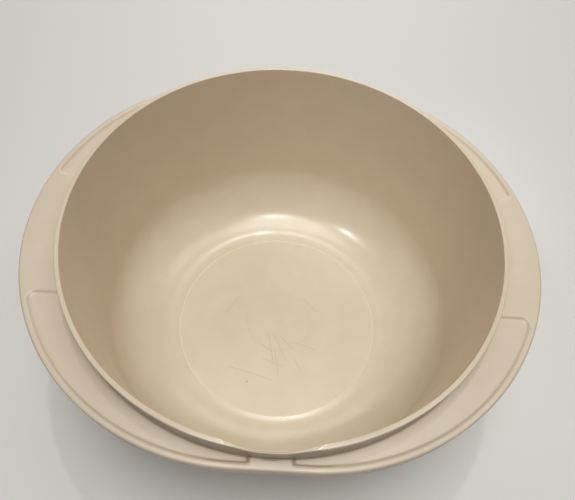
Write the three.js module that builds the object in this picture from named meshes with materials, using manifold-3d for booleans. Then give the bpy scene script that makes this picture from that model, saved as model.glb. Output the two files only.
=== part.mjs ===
// Mixing bowl with a pouring lip and an oval grip rim, moulded in one piece.
// Millimetres, +Z up. The origin is on the table, under the middle of the bowl.
// The pouring lip is at the front, -Y, and the two hand grips are at -X and +X.
import * as THREE from "three";
import { mergeVertices } from "three/addons/utils/BufferGeometryUtils.js";
import Module from "manifold-3d";

const wasm = await Module();
wasm.setup();

// Driving dimensions of the round bowl
const HEIGHT = 133;              // table to the top of the lip
const DEPTH = 127.5;             // top of the lip to the floor inside
const OPENING_R = 125;           // inside radius at the lip
const WALL = 2.65;
const DRAFT = THREE.MathUtils.degToRad(4.5);
const CORNER_R = 43;             // inside radius between wall and floor
const FLOOR_R = 74.5;            // flat disc of the floor
const FLOOR_STEP = 0.45;         // the disc lies this much below the corner radius
const LIP_ROUND = 0.6;
const LIP_DRAFT = THREE.MathUtils.degToRad(2.2);  // outside of the collar above the rim

// Foot ring and underside
const FLOOR_THICKNESS = 2.5;
const FOOT_R = 80;               // outside radius where the ring stands on the table
const FOOT_WIDTH = 3.6;
const FOOT_TAPER = 0.9;

// Oval grip rim: two half circles set apart along X, joined by short straights
const RIM_DROP = 15.2;             // top of the lip to the top of the rim
const RIM_R = 133.4;
const RIM_STRETCH = 19.5;        // centre of each half circle from the middle
const RIM_PLATE = 4.4;
const RIM_EDGE_R = 3;
const SKIRT_HEIGHT = 9;
const SKIRT_THICKNESS = 2.3;
const RIM_SEAT_R = 124.8;        // inner edge of the rim plate, inside the bowl's wall

// Four sunken panels in the rim
const PANEL_DEPTH = 1.3;
const PANEL_INSET = 4.9;         // bead left between a panel and the edge of the rim
const PANEL_CORNER_R = 5;
const GRIP_HALF = 40;            // half length of the flush grip between two panels
const BRIDGE_HALF = 11.5;        // half width of the flush bridge under the pouring lip

// Pouring lip: the wall's top leans outwards to a thin round edge that sinks a little in the middle
const SPOUT_HEIGHT = 10;
const SPOUT_FULL = THREE.MathUtils.degToRad(7.2);   // the flat top is gone within this angle of the front
const SPOUT_END = THREE.MathUtils.degToRad(10.8);   // and whole again beyond this one
const SPOUT_EDGE_INSET = 1.16;   // the thin edge stands this far inside the lip's outside
const SPOUT_FLARE = 0.9;
const SPOUT_DROP = 0.3;
const SPOUT_THINNING = 0.62;     // share of the lip's thickness that is gone at the thin edge
const SPOUT_DIP = 2.1;
const DIP_FULL = THREE.MathUtils.degToRad(2);
const DIP_END = THREE.MathUtils.degToRad(10);
const LIP_PULL = 0.65;           // the lip stands this much further in on both sides of the pouring lip
const PULL_FULL = THREE.MathUtils.degToRad(20);
const PULL_END = THREE.MathUtils.degToRad(52);

// Fineness of the facets
const TURN_STEPS = 80;
const CORNER_STEPS = 7;
const PANEL_STEPS = 14;

const rimTop = HEIGHT - RIM_DROP;
const rimUnderside = rimTop - RIM_PLATE;
const floorTop = HEIGHT - DEPTH;
const wallAcross = WALL / Math.cos(DRAFT);

const bowlPlastic = new THREE.MeshStandardMaterial({ color: 0xd9cfb9, roughness: 0.42, metalness: 0 });

// Points on a circle about (centreR, centreZ), from one angle to the other, both ends included
function arcPoints(centreR, centreZ, radius, fromAngle, toAngle, steps) {
  const points = [];
  for (let i = 0; i <= steps; i++) {
    const angle = fromAngle + ((toAngle - fromAngle) * i) / steps;
    points.push(new THREE.Vector2(centreR + radius * Math.cos(angle), centreZ + radius * Math.sin(angle)));
  }
  return points;
}

// The closed solid of a geometry: shared corners merged, and triangles with no area left out
function toSolid(geometry) {
  const bare = geometry.clone();
  bare.deleteAttribute("normal");
  bare.deleteAttribute("uv");
  const merged = mergeVertices(bare, 1e-4);
  const corners = merged.index.array;
  const kept = [];
  for (let i = 0; i < corners.length; i += 3) {
    const [a, b, c] = [corners[i], corners[i + 1], corners[i + 2]];
    if (a !== b && b !== c && c !== a) {
      kept.push(a, b, c);
    }
  }
  const vertProperties = new Float32Array(merged.attributes.position.array);
  const triVerts = new Uint32Array(kept);
  const solid = new wasm.Manifold(new wasm.Mesh({ numProp: 3, vertProperties, triVerts }));
  if (solid.volume() > 0) {
    return solid;
  }
  const flipped = [];
  for (let i = 0; i < kept.length; i += 3) {
    flipped.push(kept[i], kept[i + 2], kept[i + 1]);
  }
  return new wasm.Manifold(new wasm.Mesh({ numProp: 3, vertProperties, triVerts: new Uint32Array(flipped) }));
}

function toGeometry(solid) {
  const mesh = solid.getMesh();
  const geometry = new THREE.BufferGeometry();
  geometry.setAttribute("position", new THREE.BufferAttribute(new Float32Array(mesh.vertProperties), 3));
  geometry.setIndex(new THREE.BufferAttribute(new Uint32Array(mesh.triVerts), 1));
  geometry.computeVertexNormals();
  return geometry;
}

// A profile of (radius, height) turned about the Z axis
function turned(profile) {
  return new THREE.LatheGeometry(profile, TURN_STEPS).rotateX(Math.PI / 2);
}

// Inside radius of the drafted wall at a height
function wallRadius(z) {
  return OPENING_R - (HEIGHT - z) * Math.tan(DRAFT);
}

// The bowl's section, from the underside's middle out, up the outside, over the lip and down inside
function bowlProfile() {
  const cornerZ = floorTop + FLOOR_STEP + CORNER_R;
  const tangentZ = cornerZ - CORNER_R * Math.sin(DRAFT);
  const cornerX = wallRadius(tangentZ) - CORNER_R * Math.cos(DRAFT);
  const outerCorner = CORNER_R + WALL;
  const footTop = FOOT_R + FOOT_TAPER;
  const footAngle = -Math.acos((footTop - cornerX) / outerCorner);
  const underside = floorTop - FLOOR_THICKNESS;
  const lipOuter = OPENING_R + wallAcross;
  const collarPoint = (drop) => new THREE.Vector2(lipOuter - drop * Math.tan(LIP_DRAFT), HEIGHT - drop);
  const wallPoint = (drop) => new THREE.Vector2(wallRadius(HEIGHT - drop), HEIGHT - drop);
  return [
    new THREE.Vector2(0, underside),
    new THREE.Vector2(FOOT_R - FOOT_WIDTH - FOOT_TAPER, underside),
    new THREE.Vector2(FOOT_R - FOOT_WIDTH, 0),
    new THREE.Vector2(FOOT_R, 0),
    ...arcPoints(cornerX, cornerZ, outerCorner, footAngle, -DRAFT, CORNER_STEPS),
    new THREE.Vector2(wallRadius(rimUnderside) + wallAcross, rimUnderside),
    collarPoint(RIM_DROP),
    collarPoint(SPOUT_HEIGHT),
    collarPoint(SPOUT_HEIGHT / 2),
    ...arcPoints(lipOuter - LIP_ROUND, HEIGHT - LIP_ROUND, LIP_ROUND, 0, Math.PI / 2, 2),
    ...arcPoints(OPENING_R + LIP_ROUND, HEIGHT - LIP_ROUND, LIP_ROUND, Math.PI / 2, Math.PI, 2),
    wallPoint(SPOUT_HEIGHT / 2),
    wallPoint(SPOUT_HEIGHT),
    ...arcPoints(cornerX, cornerZ, CORNER_R, -DRAFT, -Math.PI / 2, CORNER_STEPS),
    new THREE.Vector2(FLOOR_R, floorTop),
    new THREE.Vector2(0, floorTop),
  ];
}

// 1 within the angle full of the front, 0 beyond the angle end, and smooth between them
function frontShare(offFront, full, end) {
  return 1 - THREE.MathUtils.smoothstep(offFront, full, end);
}

// Forms the top of the wall at the front: it is pulled in on both sides of the pouring lip, and there its
// inner face leans out with the cube of its height until the flat top has become a thin edge
function formSpout(geometry) {
  const position = geometry.attributes.position;
  const lipOuter = OPENING_R + wallAcross;
  for (let i = 0; i < position.count; i++) {
    const [x, y, z] = [position.getX(i), position.getY(i), position.getZ(i)];
    const radius = Math.hypot(x, y);
    const offFront = Math.abs(Math.atan2(x, -y));
    const rise = (z - (HEIGHT - SPOUT_HEIGHT)) / SPOUT_HEIGHT;
    if (rise > 0 && offFront < PULL_END) {
      const spout = frontShare(offFront, SPOUT_FULL, SPOUT_END);
      const dip = frontShare(offFront, DIP_FULL, DIP_END);
      const pull = LIP_PULL * frontShare(offFront, PULL_FULL, PULL_END) * rise ** 2;
      const edgeMove = SPOUT_FLARE * dip - SPOUT_EDGE_INSET;
      const inside = THREE.MathUtils.clamp((lipOuter - radius) / wallAcross, 0, 1);
      const lean = edgeMove * rise ** 2 + inside * SPOUT_THINNING * wallAcross * rise ** 3;
      const moved = THREE.MathUtils.lerp(radius - pull, radius + lean, spout);
      const sunk = spout * (SPOUT_DROP + SPOUT_DIP * dip) * rise ** 2;
      position.setXYZ(i, (x * moved) / radius, (y * moved) / radius, z - sunk);
    }
  }
  return geometry;
}

// Radius of the rim's oval edge in a direction from the middle
function rimRadius(angle) {
  const straightReach = RIM_R / Math.abs(Math.sin(angle));
  if (straightReach * Math.abs(Math.cos(angle)) <= RIM_STRETCH) {
    return straightReach;
  }
  const along = RIM_STRETCH * Math.abs(Math.cos(angle));
  const across = RIM_STRETCH * Math.sin(angle);
  return along + Math.sqrt(RIM_R ** 2 - across ** 2);
}

// The rim plate with its rounded edge and turned-down skirt, as a turned ring whose edge is moved to the oval
function gripRim() {
  const skirtFoot = rimTop - SKIRT_HEIGHT;
  const ring = turned([
    new THREE.Vector2(RIM_SEAT_R, rimUnderside),
    new THREE.Vector2(RIM_R - SKIRT_THICKNESS, rimUnderside),
    new THREE.Vector2(RIM_R - SKIRT_THICKNESS, skirtFoot),
    new THREE.Vector2(RIM_R, skirtFoot),
    ...arcPoints(RIM_R - RIM_EDGE_R, rimTop - RIM_EDGE_R, RIM_EDGE_R, 0, Math.PI / 2, 4),
    new THREE.Vector2(RIM_SEAT_R, rimTop),
    new THREE.Vector2(RIM_SEAT_R, rimUnderside),
  ]);
  const position = ring.attributes.position;
  for (let i = 0; i < position.count; i++) {
    const [x, y] = [position.getX(i), position.getY(i)];
    const radius = Math.hypot(x, y);
    if (radius > RIM_SEAT_R + 1) {
      const grown = (radius + rimRadius(Math.atan2(y, x)) - RIM_R) / radius;
      position.setXY(i, x * grown, y * grown);
    }
  }
  return toSolid(ring);
}

// One sunken panel, as the block that is cut out of the rim; sideX and sideY are -1 or 1
function panelCutter(sideX, sideY) {
  const edgeR = RIM_R - PANEL_INSET;
  const centreY = GRIP_HALF + PANEL_CORNER_R;
  const centreX = RIM_STRETCH + Math.sqrt((edgeR - PANEL_CORNER_R) ** 2 - centreY ** 2);
  const cornerTurn = Math.atan2(centreY, centreX - RIM_STRETCH);
  const innerR = RIM_SEAT_R - 1;
  const innerStart = Math.acos(BRIDGE_HALF / innerR);
  const innerEnd = Math.asin(GRIP_HALF / innerR);
  const outline = new THREE.Shape();
  outline.moveTo(BRIDGE_HALF, innerR * Math.sin(innerStart));
  outline.lineTo(BRIDGE_HALF, edgeR);
  outline.lineTo(RIM_STRETCH, edgeR);
  outline.absarc(RIM_STRETCH, 0, edgeR, Math.PI / 2, cornerTurn, true);
  outline.absarc(centreX, centreY, PANEL_CORNER_R, cornerTurn, -Math.PI / 2, true);
  outline.absarc(0, 0, innerR, innerEnd, innerStart, false);
  const settings = { depth: PANEL_DEPTH + 1, bevelEnabled: false, curveSegments: PANEL_STEPS };
  const cutter = new THREE.ExtrudeGeometry(outline, settings);
  cutter.scale(sideX, sideY, 1);
  cutter.translate(0, 0, rimTop - PANEL_DEPTH);
  return toSolid(cutter);
}

function bowlSolid() {
  let rim = gripRim();
  for (const sideX of [-1, 1]) {
    for (const sideY of [-1, 1]) {
      rim = rim.subtract(panelCutter(sideX, sideY));
    }
  }
  return toSolid(formSpout(turned(bowlProfile()))).add(rim);
}

const bowl = new THREE.Mesh(toGeometry(bowlSolid()), bowlPlastic);
bowl.name = "bowl";

const part = new THREE.Group();
part.add(bowl);

export default part;
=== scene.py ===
"""A cream plastic mixing bowl: its moulded surface, its plastic and the light it stands in."""
import math

import bpy
import numpy as np
from mathutils import Matrix, Vector


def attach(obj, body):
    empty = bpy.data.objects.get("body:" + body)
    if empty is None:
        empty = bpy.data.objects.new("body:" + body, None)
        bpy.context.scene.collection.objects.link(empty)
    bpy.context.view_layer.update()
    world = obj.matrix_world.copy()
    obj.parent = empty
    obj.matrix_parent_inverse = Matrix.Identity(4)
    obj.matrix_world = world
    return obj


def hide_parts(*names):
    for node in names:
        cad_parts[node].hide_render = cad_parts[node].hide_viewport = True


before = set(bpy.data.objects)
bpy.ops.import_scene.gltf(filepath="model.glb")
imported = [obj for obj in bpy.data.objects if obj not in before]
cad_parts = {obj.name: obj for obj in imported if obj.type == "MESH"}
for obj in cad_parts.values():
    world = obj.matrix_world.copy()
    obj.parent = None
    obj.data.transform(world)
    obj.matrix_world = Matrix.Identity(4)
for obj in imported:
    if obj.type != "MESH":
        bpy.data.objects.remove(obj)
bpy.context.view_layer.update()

# ---------------------------------------------------------------- sizes, in millimetres

MM = 0.001
FRONT = 1.5 * np.pi    # the heading of the pouring edge
HEIGHT = 133.0
DEPTH = 127.5
OPENING_R = 125.0
WALL = 2.65
DRAFT = math.radians(4.5)
CORNER_R = 43.0
FLOOR_R = 74.5
FLOOR_STEP = 0.45
STEP_WIDTH = 0.3
LIP_DRAFT = math.radians(2.2)
LIP_INNER_ROUND = 0.3
LIP_OUTER_ROUND = 0.55

FLOOR_THICKNESS = 2.5
FOOT_R = 80.0
FOOT_WIDTH = 3.6
FOOT_TAPER = 0.9
FOOT_ROUND = 0.5
FOOT_INNER_ROUND = 0.6

RIM_DROP = 15.2
RIM_R = 133.4
RIM_STRETCH = 19.5
FAN_START = math.radians(26)   # from this heading the grid's lines turn towards the oval's straights
RIM_PLATE = 4.4
RIM_EDGE_R = 1.6
SKIRT_HEIGHT = 9.0
SKIRT_THICKNESS = 2.3
SKIRT_ROUND = 0.8
SIDE_LINE = 4.6        # a grid line halfway down the rim's side
COLLAR_FILLET = 0.8
UNDER_FILLET = 1.2

PANEL_DEPTH = 1.3
BEAD_TOP = 2.6         # from the edge of the rim to the start of the slope into a panel
BEAD_SLOPE = 2.3
PANEL_CORNER_R = 8.0
BORDER = 5.6           # the width along the rim's edge that has finer grid lines
GRIP_HALF = 40.0
GRIP_SLOPE = 1.8
BRIDGE_HALF = 9.8
BRIDGE_SLOPE = 3.3
SLOPE_EASE = 0.22      # the share of a slope's length that is rounded at each end

LIP_PULL = 0.65        # the lip stands this much further in on both sides of the pouring edge
PULL_ENDS = (math.radians(52), math.radians(20))       # and comes to that between these headings
SPOUT_HEIGHT = 10.0
SPOUT_ENDS = (math.radians(12.0), math.radians(6.0))   # the flat lip fades out between these headings
DIP_ENDS = (math.radians(10.0), math.radians(2.0))     # the pouring edge sinks between these headings
SPOUT_EDGE_R = 126.5
SPOUT_FLARE = 0.9
SPOUT_DROP = 0.3
SPOUT_DIP = 2.1
SPOUT_EDGE_ROUND = 0.6

GATE = (1.6, 1.0)      # where the plastic was let in, (x, y) on the floor
RING_R, RING_WIDTH, RING_RISE = 2.6, 0.38, 0.22
NUB_R, NUB_RISE = 0.75, 0.3
DISH_R, DISH_DEPTH = 6.5, 0.16
GATE_REACH = 14.0      # beyond this radius the floor is flat

AROUND = 340           # grid lines round the bowl
# and across each part of its section
CORNER_STEPS, WALL_STEPS = 34, 12
LIP_WALL_STEPS, LIP_ROUND_STEPS, LIP_FLAT_STEPS, COLLAR_STEPS = 7, 7, 5, 6
FILLET_STEPS, PLATE_STEPS, BORDER_STEPS, EDGE_STEPS = 6, 19, 13, 9
ROUND_STEPS, UNDER_STEPS, OUTER_WALL_STEPS, OUTER_CORNER_STEPS = 5, 7, 10, 26

rim_top = HEIGHT - RIM_DROP
rim_underside = rim_top - RIM_PLATE
skirt_foot = rim_top - SKIRT_HEIGHT
floor_top = HEIGHT - DEPTH
wall_across = WALL / math.cos(DRAFT)
lip_outer = OPENING_R + wall_across
corner_z = floor_top + FLOOR_STEP + CORNER_R
tangent_z = corner_z - CORNER_R * math.sin(DRAFT)
corner_x = OPENING_R - (HEIGHT - tangent_z) * math.tan(DRAFT) - CORNER_R * math.cos(DRAFT)
collar_foot_r = lip_outer - RIM_DROP * math.tan(LIP_DRAFT)


# ---------------------------------------------------------------- the bowl's surface


def smooth(t):
    """0 below t = 0, 1 above t = 1, and 3 t^2 - 2 t^3 between them."""
    t = np.clip(t, 0, 1)
    return t * t * (3 - 2 * t)


def bell(value, middle, width):
    """exp(-((value - middle) / width)^2): 1 at the middle and falling off to both sides."""
    return np.exp(-(((value - middle) / width) ** 2))


def spaced(density, count):
    """count numbers from 0 towards 1, closest together where density, given evenly over 0 to 1, is high."""
    total = np.concatenate([[0], np.cumsum((density[1:] + density[:-1]) / 2)])
    return np.interp(np.arange(count) / count, total / total[-1], np.linspace(0, 1, len(density)))


def headings(count):
    """Directions around the bowl in radians, from 0 to a full turn. They lie evenly, with extra ones at the
    ends of the grips and bridges and along the pouring edge, where the surface turns over a short way. Each
    crowd below says how many extra lines there are to an even one, and over what width in radians."""
    turn = np.linspace(0, 2 * np.pi, 20001)
    fold = np.arcsin(np.abs(np.sin(turn)))
    foot = lip_outer + COLLAR_FILLET
    grip_end = math.asin((GRIP_HALF + GRIP_SLOPE / 2) / foot)
    bridge_end = math.acos((BRIDGE_HALF + BRIDGE_SLOPE / 2) / foot)
    at_grip_end = 14 * bell(fold, grip_end, 0.005)
    past_grip_end = 4.5 * smooth((fold - grip_end + 0.004) / 0.008)
    past_grip_end *= smooth((grip_end + 0.055 - fold) / 0.012)
    at_bridge_end = 3 * bell(fold, bridge_end, 0.022)
    at_spout = 1.6 * smooth((0.24 - np.abs(turn - FRONT)) / 0.03)
    return 2 * np.pi * spaced(1 + at_grip_end + past_grip_end + at_bridge_end + at_spout, count)


def edge_point(heading):
    """The point of the rim's oval edge that belongs to a heading, and the outward direction there. The oval
    is two half circles of RIM_R about x = +-RIM_STRETCH. On the circles a grid line keeps its y from the
    collar to the edge, and on the straights it keeps its x, with an even change between the two."""
    foot = lip_outer + COLLAR_FILLET
    fold = np.arcsin(np.abs(np.sin(heading)))
    side_x = np.where(np.cos(heading) < 0, -1.0, 1.0)
    side_y = np.where(np.sin(heading) < 0, -1.0, 1.0)
    straight = math.acos(RIM_STRETCH / foot)
    turned = fold + (np.pi / 2 - straight) * smooth((fold - FAN_START) / (straight - FAN_START))
    on_arc = fold < straight
    turned = np.where(on_arc, turned, np.pi / 2)
    x = np.where(on_arc, RIM_STRETCH + RIM_R * np.cos(turned), foot * np.cos(fold))
    y = RIM_R * np.sin(turned)
    return side_x * x, side_y * y, side_x * np.cos(turned), side_y * np.sin(turned)


def edge_distance(x, y):
    """How far a point lies inside the rim's oval edge."""
    return RIM_R - np.hypot(np.maximum(np.abs(x) - RIM_STRETCH, 0), y)


def panel_drop(x, y):
    """How far the rim's top is sunk at (x, y). A panel is the area that is BEAD_TOP inside the edge, past the
    grip's half length in y and past the bridge's half width in x. The drop runs smoothly from 0 to
    PANEL_DEPTH over each border's own slope. The border turns with PANEL_CORNER_R from bead to grip, and the
    slope changes with it from BEAD_SLOPE to GRIP_SLOPE."""
    inward = edge_distance(x, y) - BEAD_TOP
    along = np.abs(y) - GRIP_HALF
    left = np.clip(PANEL_CORNER_R - inward, 0, None)
    below = np.clip(PANEL_CORNER_R - along, 0, None)
    corner = PANEL_CORNER_R - np.hypot(left, below)
    depth_in = np.where((left > 0) & (below > 0), corner, np.minimum(inward, along))
    lean = np.where(left + below > 0, left**2 / np.maximum(left**2 + below**2, 1e-9), 1.0)
    slope = GRIP_SLOPE + (BEAD_SLOPE - GRIP_SLOPE) * np.where(inward < along, np.maximum(lean, 0.5), lean)
    sunk = soft_step(depth_in / slope)
    across = soft_step((np.abs(x) - BRIDGE_HALF) / BRIDGE_SLOPE)
    return PANEL_DEPTH * sunk * across


def soft_step(t):
    """A straight slope from 0 to 1, with a parabola over SLOPE_EASE of its length at either end."""
    t = np.clip(t, 0, 1)
    steep = 1 / (1 - SLOPE_EASE)
    low = steep * t * t / (2 * SLOPE_EASE)
    high = 1 - steep * (1 - t) ** 2 / (2 * SLOPE_EASE)
    middle = steep * (t - SLOPE_EASE / 2)
    return np.where(t < SLOPE_EASE, low, np.where(t > 1 - SLOPE_EASE, high, middle))


def gate_mark(x, y):
    """Height of the gate mark on the floor: a low ring about the point where the plastic was let in, with a
    nub in it, and a dished area round them, each a bell in the distance r from that point."""
    r = np.hypot(x - GATE[0], y - GATE[1])
    ring = RING_RISE * bell(r, RING_R, RING_WIDTH)
    nub = NUB_RISE * bell(r, 0.0, NUB_R)
    dish = -DISH_DEPTH * np.exp(-((r / DISH_R) ** 4))
    return ring + nub + dish


def off_front(heading):
    """How far a heading is from the front of the bowl, to either side."""
    return np.abs((heading - FRONT + np.pi) % (2 * np.pi) - np.pi)


def fade(off, ends):
    """0 outside the first of two headings, 1 inside the second, and smooth between them."""
    return smooth((ends[0] - off) / (ends[0] - ends[1]))


def arc(centre_r, centre_z, radius, start, end, count):
    """Points of a circle about (centre_r, centre_z) from one angle to another, as (radius, height) pairs."""
    turn = np.linspace(start, end, count)
    return list(zip(centre_r + radius * np.cos(turn), centre_z + radius * np.sin(turn)))


def inside_stations():
    """The inside's section from the middle of the floor up to SPOUT_HEIGHT below the lip: flat disc, step,
    corner radius and drafted wall, as (radius, height) pairs."""
    floor = [(r, floor_top) for r in np.linspace(0.3, 9, 28)]
    floor += [(r, floor_top) for r in np.linspace(12, FLOOR_R - 2, 16)]
    edge = np.linspace(-0.15, 1.15, 7)
    floor += [(FLOOR_R + STEP_WIDTH * t, floor_top + FLOOR_STEP * float(soft_step(t))) for t in edge]
    corner = arc(corner_x, corner_z, CORNER_R, -np.pi / 2 + 0.02, -DRAFT, CORNER_STEPS)
    heights = np.linspace(tangent_z, HEIGHT - SPOUT_HEIGHT, WALL_STEPS)[1:]
    wall = [(OPENING_R - (HEIGHT - z) * math.tan(DRAFT), z) for z in heights]
    return floor + corner + wall


def lip_section(heading):
    """The lip from SPOUT_HEIGHT below its top, over it, and down its outside to the same height. The plain
    lip is a drafted wall, a small inner round, a flat top and an outer round. The pouring edge has no flat:
    its radius grows with the cube of the height up to a thin round edge, which sinks and flares towards the
    middle. Each heading mixes the two sections. Returns the radii and heights as (station, heading)."""
    off = off_front(heading)
    spout, dip = fade(off, SPOUT_ENDS), fade(off, DIP_ENDS)
    pull = LIP_PULL * fade(off, PULL_ENDS)
    base = HEIGHT - SPOUT_HEIGHT
    base_r = OPENING_R - SPOUT_HEIGHT * math.tan(DRAFT)
    top_r_in, top_r_out = OPENING_R - pull, lip_outer - pull
    edge_r = SPOUT_EDGE_R + SPOUT_FLARE * dip
    edge_z = HEIGHT - SPOUT_DROP - SPOUT_DIP * dip

    plain, pouring = [], []
    for t in np.linspace(0, 1, LIP_WALL_STEPS)[1:-1]:
        z = base + t * (HEIGHT - LIP_INNER_ROUND - base)
        plain.append((OPENING_R - (HEIGHT - z) * math.tan(DRAFT) - pull * t**2, z + 0 * pull))
    for turn in np.linspace(np.pi, np.pi / 2, LIP_ROUND_STEPS):
        r = top_r_in + LIP_INNER_ROUND * (1 + np.cos(turn))
        plain.append((r, HEIGHT - LIP_INNER_ROUND * (1 - np.sin(turn)) + 0 * pull))
    for t in np.linspace(0, 1, LIP_FLAT_STEPS)[1:-1]:
        flat = top_r_out - LIP_OUTER_ROUND - top_r_in - LIP_INNER_ROUND
        plain.append((top_r_in + LIP_INNER_ROUND + t * flat, HEIGHT + 0 * pull))
    for turn in np.linspace(np.pi / 2, 0, LIP_ROUND_STEPS):
        r = top_r_out - LIP_OUTER_ROUND * (1 - np.cos(turn))
        plain.append((r, HEIGHT - LIP_OUTER_ROUND * (1 - np.sin(turn)) + 0 * pull))

    crest_r, crest_z = edge_r - 1.5 * SPOUT_EDGE_ROUND, edge_z - 0.15 * SPOUT_EDGE_ROUND
    lean = np.arctan2(3 * (crest_r - base_r), crest_z - base)
    swept = len(plain) - LIP_ROUND_STEPS
    for t in (np.arange(1, swept + 1) / swept) ** 0.7:
        pouring.append((base_r + (crest_r - base_r) * t**3, base + (crest_z - base) * t))
    centre_r = crest_r + SPOUT_EDGE_ROUND * np.cos(lean)
    centre_z = crest_z - SPOUT_EDGE_ROUND * np.sin(lean)
    for t in np.linspace(0, 1, LIP_ROUND_STEPS + 1)[1:]:
        turn = (np.pi - lean) * (1 - t)
        r = centre_r + SPOUT_EDGE_ROUND * np.cos(turn)
        pouring.append((r, centre_z + SPOUT_EDGE_ROUND * np.sin(turn)))

    collar_r = lip_outer - SPOUT_HEIGHT * math.tan(LIP_DRAFT)
    for rows, bend in ((plain, 1.0), (pouring, 2.0)):
        last_r, last_z = rows[-1]
        for t in np.linspace(0, 1, COLLAR_STEPS)[1:]:
            r = last_r + (collar_r - last_r) * (1 - (1 - t) ** bend)
            rows.append((r, last_z + t * (base - last_z)))
    plain, pouring = np.array(plain), np.array(pouring)
    mixed = plain + spout * (pouring - plain)
    return mixed[:, 0], mixed[:, 1]


def outside_stations():
    """The outside's section from the rim's underside down to the middle of the underside: drafted wall,
    corner radius, foot ring with its small rounds, and the flat underside, as (radius, height) pairs."""
    outer_corner = CORNER_R + WALL
    foot_top = FOOT_R + FOOT_TAPER
    foot_angle = -math.acos((foot_top - corner_x) / outer_corner)
    start = rim_underside - UNDER_FILLET
    heights = np.linspace(start, tangent_z, OUTER_WALL_STEPS)[1:-1]
    wall = [(OPENING_R - (HEIGHT - z) * math.tan(DRAFT) + wall_across, z) for z in heights]
    corner = arc(corner_x, corner_z, outer_corner, -DRAFT, foot_angle, OUTER_CORNER_STEPS)
    underside = floor_top - FLOOR_THICKNESS
    inner_r = FOOT_R - FOOT_WIDTH
    inner_top = inner_r - FOOT_TAPER - FOOT_INNER_ROUND
    foot = arc(FOOT_R - FOOT_ROUND + 0.05, FOOT_ROUND, FOOT_ROUND, 0, -np.pi / 2, ROUND_STEPS)
    foot += arc(inner_r + FOOT_ROUND, FOOT_ROUND, FOOT_ROUND, -np.pi / 2, -np.pi, ROUND_STEPS)
    foot += arc(inner_top, underside - FOOT_INNER_ROUND, FOOT_INNER_ROUND, 0.1, np.pi / 2, ROUND_STEPS)
    middle = [(r, underside) for r in (70, 64, 58, 50, 42, 34, 26, 18, 10, 4, 0.4)]
    return wall + corner + foot + middle


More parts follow.
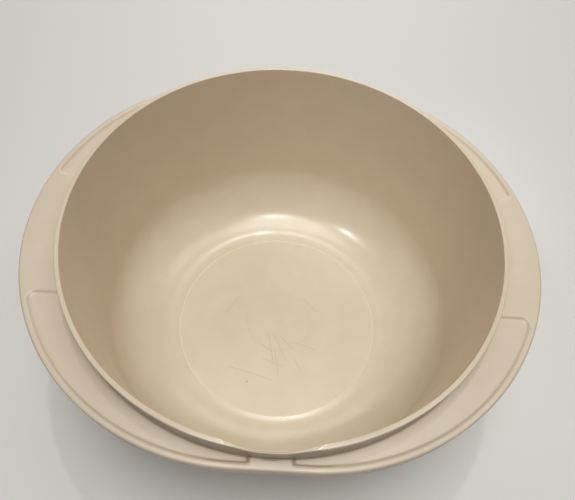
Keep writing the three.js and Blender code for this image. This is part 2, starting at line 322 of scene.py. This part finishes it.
def bowl_surface():
    """The whole moulding as one closed grid of stations by headings: out over the floor, up the wall, over
    the lip, down the collar, across the rim's top, over its edge and skirt, back along its underside, down
    the outside and in under the floor. Each row is worked out for all headings at once."""
    heading = headings(AROUND)
    cos, sin = np.cos(heading), np.sin(heading)
    edge_x, edge_y, out_x, out_y = edge_point(heading)
    rows = []

    def ring(r, z):
        rows.append((r * cos, r * sin, np.broadcast_to(z, heading.shape) + 0 * cos))

    def along_edge(inset, z):
        rows.append((edge_x - inset * out_x, edge_y - inset * out_y, z + 0 * cos))

    for r, z in inside_stations():
        lift = gate_mark(r * cos, r * sin) if r < GATE_REACH else 0
        ring(r, z + lift)
    lip_r, lip_z = lip_section(heading)
    for r, z in zip(lip_r, lip_z):
        ring(r, z)

    foot_r = collar_foot_r + COLLAR_FILLET
    plate = rim_top - panel_drop(foot_r * cos, foot_r * sin)
    collar_base = HEIGHT - SPOUT_HEIGHT
    for t in (0.4, 0.8):
        z = collar_base + t * (plate + COLLAR_FILLET - collar_base)
        ring(lip_outer - (HEIGHT - z) * math.tan(LIP_DRAFT), z)
    for turn in np.linspace(np.pi, 1.5 * np.pi, FILLET_STEPS):
        ring(foot_r + COLLAR_FILLET * np.cos(turn), plate + COLLAR_FILLET * (1 + np.sin(turn)))

    near_x, near_y = edge_x - BORDER * out_x, edge_y - BORDER * out_y
    for t in np.linspace(0, 1, PLATE_STEPS)[1:]:
        share = 1 - (1 - t) ** 1.5
        x = foot_r * cos + share * (near_x - foot_r * cos)
        y = foot_r * sin + share * (near_y - foot_r * sin)
        rows.append((x, y, rim_top - panel_drop(x, y)))
    for inset in np.linspace(BORDER, RIM_EDGE_R, BORDER_STEPS)[1:]:
        x, y = edge_x - inset * out_x, edge_y - inset * out_y
        rows.append((x, y, rim_top - panel_drop(x, y)))
    for turn in np.linspace(np.pi / 2, 0, EDGE_STEPS)[1:]:
        along_edge(RIM_EDGE_R * (1 - np.cos(turn)), rim_top - RIM_EDGE_R * (1 - np.sin(turn)))
    for z in (rim_top - SIDE_LINE, skirt_foot + SKIRT_ROUND + 0.4):
        along_edge(0.0, z)
    for turn in np.linspace(0, -np.pi / 2, ROUND_STEPS):
        along_edge(SKIRT_ROUND * (1 - np.cos(turn)), skirt_foot + SKIRT_ROUND * (1 + np.sin(turn)))
    for turn in np.linspace(-np.pi / 2, -np.pi, ROUND_STEPS):
        inset = SKIRT_THICKNESS - SKIRT_ROUND * (1 + np.cos(turn))
        along_edge(inset, skirt_foot + SKIRT_ROUND * (1 + np.sin(turn)))
    for turn in np.linspace(0, np.pi / 2, ROUND_STEPS):
        inset = SKIRT_THICKNESS + UNDER_FILLET * (1 - np.cos(turn))
        along_edge(inset, rim_underside - UNDER_FILLET * (1 - np.sin(turn)))

    under_inset = SKIRT_THICKNESS + UNDER_FILLET
    from_x, from_y = edge_x - under_inset * out_x, edge_y - under_inset * out_y
    wall_r = OPENING_R - (HEIGHT - rim_underside) * math.tan(DRAFT) + wall_across
    to_r = wall_r + UNDER_FILLET
    for t in np.linspace(0, 1, UNDER_STEPS)[1:-1]:
        x, y = from_x + t * (to_r * cos - from_x), from_y + t * (to_r * sin - from_y)
        rows.append((x, y, rim_underside + 0 * cos))
    for turn in np.linspace(np.pi / 2, np.pi, ROUND_STEPS):
        ring(to_r + UNDER_FILLET * np.cos(turn), rim_underside - UNDER_FILLET * (1 - np.sin(turn)))
    for r, z in outside_stations():
        ring(r, z)

    points = np.moveaxis(np.array(rows), 1, 2).reshape(-1, 3)
    first = float(floor_top + gate_mark(0.0, 0.0))
    last = floor_top - FLOOR_THICKNESS
    points = np.vstack([points, [[0, 0, first], [0, 0, last]]]) * MM
    i, j = np.meshgrid(np.arange(len(rows) - 1) * AROUND, np.arange(AROUND), indexing="ij")
    k = (j + 1) % AROUND
    quads = np.stack([i + j, i + k, i + AROUND + k, i + AROUND + j], -1).reshape(-1, 4)
    start, end = len(points) - 2, len(points) - 1
    under = (len(rows) - 1) * AROUND
    pairs = list(zip(j[0], k[0]))
    caps = [[start, b, a] for a, b in pairs] + [[end, under + a, under + b] for a, b in pairs]
    return points, quads, caps


# Shares of painted shade: darker in the rim's creases and recesses and on faces turned from the light.
SHADE_IN_COLLAR_FOOT, SHADE_AT_BEAD, SHADE_AT_PANEL_END, SHADE_ON_SIDE = 0.5, 0.32, 0.75, 0.25
GRIP_END_SHADE = 0.15  # the grips' ends keep this share of their painted shade
BRIDGE_SIDE = 30       # a panel's end that lies nearer the middle than this is a bridge's end


def painted_shade_share(x, y, z):
    """Painted shade, from 0 to 1, where less light falls: in the foot of the collar, up its shaded side and
    most of all on the pouring side, along the foot of the bead round each panel, on the slopes at the panels'
    ends, and on the outer side of the rim. None of it is inside the lip."""
    r = np.hypot(x, y)
    inset = edge_distance(x, y)
    outside = r > collar_foot_r - LIP_PULL - 0.2
    on_rim = outside * (z > rim_underside + 1) * (z < rim_top + 2.5)
    collar_foot = on_rim * bell(r, collar_foot_r + 0.4, 0.6)
    pouring_side = 0.3 + 0.7 * smooth((-60 - y) / 50)
    up_collar = outside * (z > rim_top + 0.5) * (r < lip_outer + 0.1) * smooth((HEIGHT - 0.8 - z) / 2.5)
    drop = panel_drop(x, y) / PANEL_DEPTH
    bead_foot = on_rim * bell(inset, BEAD_TOP + 0.6 * BEAD_SLOPE, 1.3) * smooth((drop - 0.1) / 0.5)
    # the grips' ends get less of this painted shade than the bridges' ends
    end_shade = np.where(np.abs(x) < BRIDGE_SIDE, 1.0, GRIP_END_SHADE)
    panel_end = on_rim * 4 * drop * (1 - drop) * (inset > BEAD_TOP + 0.5 * BEAD_SLOPE) * end_shade
    outer_side = (inset < 1.0) * (z < rim_top - 0.5) * (z > skirt_foot)
    shares = SHADE_IN_COLLAR_FOOT * collar_foot + up_collar * pouring_side + SHADE_AT_BEAD * bead_foot
    shares += SHADE_AT_PANEL_END * panel_end + SHADE_ON_SIDE * outer_side
    return np.clip(shares, 0, 1)


def rub_share(x, y, z):
    """Where hands and spoons have polished the plastic, from 0 to 1: the lip's top and the crown of the bead
    all round the rim."""
    r = np.hypot(x, y)
    lip = (z > HEIGHT - 4) * smooth((r - OPENING_R + 1.5) / 1.0)
    bead = (z > rim_top - 1.6) * (z < rim_top + 0.1) * bell(edge_distance(x, y), 2.2, 1.6)
    return np.clip(lip + bead * (r > lip_outer), 0, 1)


def moulded(name, points, quads, caps):
    """A smooth mesh object from points, four-cornered faces and the triangles that close its two poles, with
    its shares of painted shade and rub kept at each point."""
    mesh = bpy.data.meshes.new(name)
    faces = quads[:, ::-1].tolist() + [face[::-1] for face in caps]
    mesh.from_pydata(points.tolist(), [], faces)
    mesh.shade_smooth()
    x, y, z = points.T / MM
    for label, share in (("painted_shade", painted_shade_share(x, y, z)), ("rub", rub_share(x, y, z))):
        mesh.attributes.new(label, "FLOAT", "POINT").data.foreach_set("value", share.astype(np.float32))
    mesh.update()
    piece = bpy.data.objects.new(name, mesh)
    bpy.context.scene.collection.objects.link(piece)
    return piece


# ---------------------------------------------------------------- the plastic

CREAM_WARM = (0.70, 0.612, 0.462, 1)
CREAM_PALE = (0.73, 0.65, 0.505, 1)
CREAM_SHADE = (0.60, 0.505, 0.36, 1)
CREAM_GREY = (0.62, 0.565, 0.48, 1)
CREAM_DARK = (0.24, 0.14, 0.075, 1)
# the colour of the painted shade and warm bounce light on the inner wall
CREAM_WALL_SHADE = (0.715, 0.558, 0.415, 1)
CREAM_RIM = (0.70, 0.595, 0.475, 1)
# the colour of the painted highlight along the floor disc's step
CREAM_HIGHLIGHT = (0.88, 0.81, 0.69, 1)
SPECK = (0.10, 0.07, 0.045, 1)

WALL_ROUGHNESS = 0.185
FLOOR_DULL = 0.24      # how much rougher the floor disc is than the wall
RIM_DULL = 0.14        # and the rim
PLASTIC_IOR = 1.49

BUMP_DISTANCE = 0.04   # in millimetres, for a height of 1
BUMP_STRENGTH = 0.9
FLOW_RING_R = 24.5     # a faint ring on the floor where the plastic's flow slowed
SPECK_CELLS = 55.0     # cells to the metre, of which each may hold one speck
SPECKLESS = 0.82       # the share of the cells that hold none

# The clouded bands of fine scratches on the floor: heading in radians, closeness and start of each set.
FINE_SCRATCHES = ((0.5, 22.0, 3.1), (2.0, 26.0, 7.7), (1.25, 18.0, 1.9))
CLOSE_ACROSS = 900.0   # the closeness across these scratches; the one above is along them
# The single deep scratches: from (x, y), to (x, y), and width, in millimetres.
SCRATCHES = (
    ((-6, -10), (-1, -34), 0.5), ((-2, -9), (8, -31), 0.4), ((4, -12), (12, -20), 0.5),
    ((-12, -18), (-3, -24), 0.45), ((10, -15), (31, -21), 0.4), ((-10, -30), (6, -36), 0.5),
    ((-1, -22), (3, -44), 0.4), ((14, -28), (20, -40), 0.4), ((-35, -38), (-8, -45), 0.45),
    ((-8, -45), (-2, -47), 0.4), ((20, 22), (34, 8), 0.4), ((-40, 6), (-31, 21), 0.4),
)


class Nodes:
    """Short calls for laying out one material's nodes."""

    def __init__(self, name):
        self.material = bpy.data.materials.new(name)
        self.material.use_nodes = True
        self.tree = self.material.node_tree
        self.shader = self.tree.nodes["Principled BSDF"]

    def put(self, socket, value):
        """Links a socket to value, or sets it where value is a plain number, colour or vector."""
        if isinstance(value, bpy.types.NodeSocket):
            self.tree.links.new(value, socket)
        else:
            socket.default_value = value

    def math(self, operation, *values, clamp=False):
        node = self.tree.nodes.new("ShaderNodeMath")
        node.operation, node.use_clamp = operation, clamp
        for socket, value in zip(node.inputs, values):
            self.put(socket, value)
        return node.outputs[0]

    def vector(self, operation, *values):
        node = self.tree.nodes.new("ShaderNodeVectorMath")
        node.operation = operation
        for socket, value in zip(node.inputs, values):
            self.put(socket, value)
        return node.outputs["Value" if operation in ("LENGTH", "DOT_PRODUCT", "DISTANCE") else "Vector"]

    def times(self, *values, clamp=False):
        """The product of several values."""
        result = values[0]
        for value in values[1:]:
            result = self.math("MULTIPLY", result, value, clamp=clamp)
        return result

    def plus(self, *values):
        """The sum of several values."""
        result = values[0]
        for value in values[1:]:
            result = self.math("ADD", result, value)
        return result

    def place(self):
        return self.tree.nodes.new("ShaderNodeTexCoord").outputs["Object"]

    def split(self, vector):
        node = self.tree.nodes.new("ShaderNodeSeparateXYZ")
        self.put(node.inputs[0], vector)
        return node.outputs

    def turned(self, vector, location=(0, 0, 0), rotation=(0, 0, 0), scale=(1, 1, 1)):
        node = self.tree.nodes.new("ShaderNodeMapping")
        for socket, value in zip(node.inputs, (vector, location, rotation, scale)):
            self.put(socket, value)
        return node.outputs[0]

    def noise(self, vector, scale, detail, roughness):
        node = self.tree.nodes.new("ShaderNodeTexNoise")
        settings = {"Vector": vector, "Scale": scale, "Detail": detail, "Roughness": roughness}
        for key, value in settings.items():
            self.put(node.inputs[key], value)
        return node.outputs[0]

    def span(self, value, low, high, to_low=0.0, to_high=1.0):
        """value from low..high to to_low..to_high, smooth at both ends and level beyond them."""
        node = self.tree.nodes.new("ShaderNodeMapRange")
        node.interpolation_type = "SMOOTHSTEP"
        for socket, number in zip(node.inputs, (value, low, high, to_low, to_high)):
            self.put(socket, number)
        return node.outputs[0]

    def rise(self, value, low, high):
        """0 up to low and 1 from high on, both in millimetres."""
        return self.span(value, low * MM, high * MM)

    def fall(self, value, low, high):
        """1 up to low and 0 from high on, both in millimetres."""
        return self.span(value, low * MM, high * MM, 1.0, 0.0)

    def band(self, value, middle, half):
        """1 at middle and 0 from half a width away on either side, both in millimetres."""
        return self.fall(self.math("ABSOLUTE", self.math("SUBTRACT", value, middle * MM)), 0.0, half)

    def blend(self, share, first, second):
        node = self.tree.nodes.new("ShaderNodeMix")
        node.data_type = "RGBA"
        self.put(node.inputs[0], share)
        self.put(node.inputs[6], first)
        self.put(node.inputs[7], second)
        return node.outputs[2]

    def kept(self, label):
        node = self.tree.nodes.new("ShaderNodeAttribute")
        node.attribute_name = label
        return node.outputs["Fac"]

    def bump(self, height, distance, strength):
        node = self.tree.nodes.new("ShaderNodeBump")
        node.inputs["Strength"].default_value = strength
        node.inputs["Distance"].default_value = distance
        self.put(node.inputs["Height"], height)
        return node.outputs[0]


def stroke(n, place, start, end, width):
    """1 along a straight scratch from start to end on the floor, both (x, y) in millimetres, and 0 beside it:
    the distance to the segment, taken from the nearest point on it, against its width."""
    a = np.array([start[0], start[1], 0.0]) * MM
    b = np.array([end[0], end[1], 0.0]) * MM
    along = (b - a) / np.dot(b - a, b - a)
    from_a = n.vector("SUBTRACT", place, tuple(a))
    share = n.math("MULTIPLY", n.vector("DOT_PRODUCT", from_a, tuple(along)), 1.0, clamp=True)
    scaled = n.tree.nodes.new("ShaderNodeVectorMath")
    scaled.operation = "SCALE"
    scaled.inputs[0].default_value = tuple(b - a)
    n.put(scaled.inputs["Scale"], share)
    return n.fall(n.vector("DISTANCE", from_a, scaled.outputs[0]), 0.0, width)


def bowl_plastic():
    """Cream satin plastic, a little cloudy, finely grained by its mould, with painted shade and bounce on the
    inner wall, a painted highlight along the floor disc's step, dulled and scratched on the floor, painted
    shade in the rim's creases and on its shaded faces, and with a few dark specks."""
    n = Nodes("cream_satin_plastic")
    place = n.place()
    z = n.split(place)[2]
    flat = n.vector("MULTIPLY", place, (1.0, 1.0, 0.0))
    r = n.vector("LENGTH", flat)
    below_wall = n.fall(z, floor_top + 1.3, floor_top + 3.0)
    at_floor = n.times(below_wall, n.rise(z, floor_top - 1.3, floor_top - 0.5))
    on_disc = n.times(n.fall(r, FLOOR_R - 0.3, FLOOR_R + 0.5), at_floor)
    # a painted highlight along the floor disc's step
    disc_edge_highlight = n.times(n.band(r, FLOOR_R + 0.2, 0.7), at_floor)
    # painted shade and warm bounce light on the inner wall, rising from the floor
    wall_shade = n.times(n.fall(r, OPENING_R - 0.5, OPENING_R + 1.2), n.rise(z, 12, 60))
    on_rim = n.rise(r, OPENING_R + 1.0, OPENING_R + 2.5)

    cloud = n.noise(place, scale=9.0, detail=3.0, roughness=0.55)
    mottle = n.noise(place, scale=60.0, detail=4.0, roughness=0.6)
    grain = n.noise(place, scale=1500.0, detail=2.0, roughness=0.5)
    flow = n.noise(n.turned(place, scale=(1.0, 1.0, 0.25)), scale=26.0, detail=4.0, roughness=0.6)

    streaks = []
    for turn, close, where in FINE_SCRATCHES:
        start = (where, 0.3 * where, 0.0)
        path = n.turned(flat, start, rotation=(0.0, 0.0, turn), scale=(close, CLOSE_ACROSS, 1.0))
        streaks.append(n.span(n.noise(path, scale=1.0, detail=2.0, roughness=0.55), 0.70, 0.78))
    rubbed = n.span(n.noise(place, scale=30.0, detail=3.0, roughness=0.5), 0.42, 0.62)
    fine = n.times(n.times(n.plus(*streaks), rubbed), on_disc, clamp=True)
    deep = n.times(n.plus(*[stroke(n, flat, *line) for line in SCRATCHES]), on_disc, clamp=True)
    from_gate = n.vector("DISTANCE", flat, (GATE[0] * MM, GATE[1] * MM, 0.0))
    flow_ring = n.times(n.band(from_gate, FLOW_RING_R, 1.4), on_disc)

    cells = n.tree.nodes.new("ShaderNodeTexVoronoi")
    n.put(cells.inputs["Vector"], place)
    cells.inputs["Scale"].default_value = SPECK_CELLS
    chosen = n.math("GREATER_THAN", n.split(cells.outputs["Color"])[0], SPECKLESS)
    speck = n.times(n.span(cells.outputs["Distance"], 0.020, 0.042, 1.0, 0.0), chosen)

    colour = n.blend(n.span(cloud, 0.35, 0.65), CREAM_WARM, CREAM_PALE)
    for where, share, tint in (
        # painted shade and bounce light on the inner wall
        (wall_shade, 0.5, CREAM_WALL_SHADE),
        (on_rim, 0.6, CREAM_RIM),
        (n.span(mottle, 0.3, 0.7), 0.18, CREAM_SHADE),
        (n.span(flow, 0.45, 0.75), 0.14, CREAM_GREY),
        (fine, 0.22, CREAM_GREY),
        (deep, 0.22, CREAM_DARK),
        (flow_ring, 0.10, CREAM_SHADE),
        # painted highlight along the floor disc's step
        (disc_edge_highlight, 0.8, CREAM_HIGHLIGHT),
        # painted shade in the rim's creases and recesses and on the shaded side of the collar
        (n.kept("painted_shade"), 0.62, CREAM_DARK),
        (speck, 0.65, SPECK),
    ):
        colour = n.blend(n.times(where, share), colour, tint)
    n.put(n.shader.inputs["Base Color"], colour)

    rough = WALL_ROUGHNESS
    for where, more in (
        (n.span(mottle, 0.25, 0.75), 0.07),
        (on_disc, FLOOR_DULL),
        (on_rim, RIM_DULL),
        (n.kept("rub"), -0.05),
        (fine, 0.12),
    ):
        rough = n.plus(rough, n.times(where, more))
    n.put(n.shader.inputs["Roughness"], rough)

    heights = ((grain, 0.12), (mottle, 0.5), (fine, -1.2), (deep, -1.6), (flow_ring, 1.6))
    height = n.plus(*[n.times(where, rise) for where, rise in heights])
    n.put(n.shader.inputs["Normal"], n.bump(height, BUMP_DISTANCE * MM, BUMP_STRENGTH))
    n.shader.inputs["IOR"].default_value = PLASTIC_IOR
    return n.material


bowl = moulded("bowl_moulding", *bowl_surface())
bowl.data.materials.append(bowl_plastic())
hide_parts("bowl")
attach(bowl, "root")

# ---------------------------------------------------------------- table, light and camera, in metres

TABLE_WHITE = (0.78, 0.77, 0.75, 1)
TABLE_HALF = 1.0
ROOM_GREY = (0.62, 0.61, 0.59, 1)
ROOM_GLOW = (1.0, 0.98, 0.95, 1)
ROOM_GLOW_STRENGTH = 0.02
LIT_POINT = (0.0, 0.0, 0.05)   # the lamps face this point inside the bowl

LENS = 34.41           # the lens and the sensor's width in millimetres
SENSOR = 36.0
LENS_SHIFT = (0.02, 0.1357)
CAMERA_PLACE = (-0.0025, -0.181, 0.393)
CAMERA_TURN = math.radians(-0.65)
CAMERA_TILT = math.radians(24.48)      # up from straight down
CAMERA_ROLL = math.radians(3.82)


def white_table():
    """A pale matt table top, two metres square."""
    mesh = bpy.data.meshes.new("table_top")
    corners = [(x * TABLE_HALF, y * TABLE_HALF, 0) for x, y in ((-1, -1), (1, -1), (1, 1), (-1, 1))]
    mesh.from_pydata(corners, [], [(0, 1, 2, 3)])
    table = bpy.data.objects.new("table_top", mesh)
    bpy.context.scene.collection.objects.link(table)
    material = bpy.data.materials.new("white_table")
    material.use_nodes = True
    shader = material.node_tree.nodes["Principled BSDF"]
    shader.inputs["Base Color"].default_value = TABLE_WHITE
    shader.inputs["Roughness"].default_value = 0.6
    mesh.materials.append(material)


def pointed(name, data, place, aim):
    """A light with this data, standing at place and turned so that it shines at aim."""
    light = bpy.data.objects.new(name, data)
    light.location = place
    light.rotation_mode = "QUATERNION"
    light.rotation_quaternion = (Vector(aim) - Vector(place)).to_track_quat("-Z", "Y")
    bpy.context.scene.collection.objects.link(light)


def lamp(name, direction, distance, size, power, colour=(1, 1, 1)):
    """A round soft lamp, size across, set off from the bowl in a direction and facing it."""
    data = bpy.data.lights.new(name, "AREA")
    data.shape = "DISK"
    data.size = size
    data.energy = power
    data.color = colour
    pointed(name, data, Vector(LIT_POINT) + Vector(direction).normalized() * distance, LIT_POINT)


def beam(name, place, aim, radius, angle, power, colour=(1, 1, 1)):
    """A soft-edged round beam, angle degrees wide, standing at place and pointed at aim."""
    data = bpy.data.lights.new(name, "SPOT")
    data.energy = power
    data.color = colour
    data.spot_size = math.radians(angle)
    data.spot_blend = 1.0
    data.shadow_soft_size = radius
    pointed(name, data, place, aim)


def pale_room():
    """A pale grey room behind the table that the lens sees, giving only a little light of its own."""
    world = bpy.data.worlds.new("pale_room")
    world.use_nodes = True
    tree = world.node_tree
    seen = tree.nodes["Background"]
    seen.inputs["Color"].default_value = ROOM_GREY
    glow = tree.nodes.new("ShaderNodeBackground")
    glow.inputs["Color"].default_value = ROOM_GLOW
    glow.inputs["Strength"].default_value = ROOM_GLOW_STRENGTH
    mix = tree.nodes.new("ShaderNodeMixShader")
    rays = tree.nodes.new("ShaderNodeLightPath")
    tree.links.new(rays.outputs["Is Camera Ray"], mix.inputs[0])
    tree.links.new(glow.outputs[0], mix.inputs[1])
    tree.links.new(seen.outputs[0], mix.inputs[2])
    tree.links.new(mix.outputs[0], tree.nodes["World Output"].inputs[0])
    bpy.context.scene.world = world


def camera():
    """The camera stands over the front edge and looks down into the bowl. From straight down with its top
    to +Y it is rolled about its own axis, tilted up about X and then turned about Z."""
    data = bpy.data.cameras.new("camera")
    data.sensor_width = SENSOR
    data.lens = LENS
    data.shift_x, data.shift_y = LENS_SHIFT
    data.clip_start = 0.01
    seen = bpy.data.objects.new("camera", data)
    rolled = Matrix.Rotation(CAMERA_ROLL, 4, "Z")
    tilted = Matrix.Rotation(CAMERA_TILT, 4, "X") @ rolled
    seen.matrix_world = Matrix.Translation(CAMERA_PLACE) @ Matrix.Rotation(CAMERA_TURN, 4, "Z") @ tilted
    bpy.context.scene.collection.objects.link(seen)
    bpy.context.scene.camera = seen


white_table()
# name, direction, distance, width, watts, colour
lamp("soft_overhead", (0.0, -0.12, 1.0), 1.5, 0.85, 11.7, (1.0, 0.985, 0.955))
lamp("soft_right", (0.42, 0.05, 0.88), 1.5, 0.6, 2.0, (1.0, 0.99, 0.97))
lamp("soft_back", (0.0, 0.9, 0.45), 1.2, 1.0, 4.6, (1.0, 0.96, 0.92))
lamp("lamp_over_back", (0.05, 0.47, 1.6), 1.67, 0.05, 2.2)
lamp("lamp_front", (0.09, -0.51, 1.48), 1.57, 0.05, 2.2)
beam("lamp_left_front", (-0.70, -0.42, 1.38), (0.065, 0.08, 0.07), radius=0.035, angle=10.0, power=14.0)
pale_room()
bpy.context.scene.view_settings.view_transform = "Standard"
camera()
